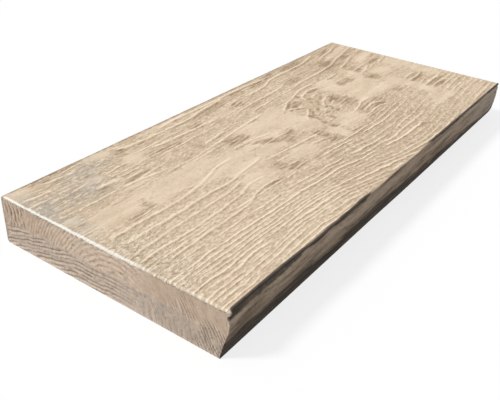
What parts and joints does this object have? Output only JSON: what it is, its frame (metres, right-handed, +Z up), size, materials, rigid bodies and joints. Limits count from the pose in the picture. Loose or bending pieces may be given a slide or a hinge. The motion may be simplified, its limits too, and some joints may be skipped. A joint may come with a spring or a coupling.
{
  "type": "wood-grain concrete pool coping stone",
  "caption": "Flat cast coping block shaped like a weathered timber plank, with a hollowed lip and a heel that leans back under its water-side nose; it caps a pool wall.",
  "frame": {"origin": "on the bedding plane, at the centre of the block's footprint", "axes": "+X along the length, -Y out of the nose towards the water, +Z up out of the tread"},
  "size_m": [0.6, 0.26, 0.05],
  "materials": {
    "cast_stone": "matt cast concrete with a timber-grain relief, sandy beige with brown stain in the hollows"
  },
  "bodies": {
    "root": {"coping_stone": "cast_stone"}
  },
  "joints": []
}
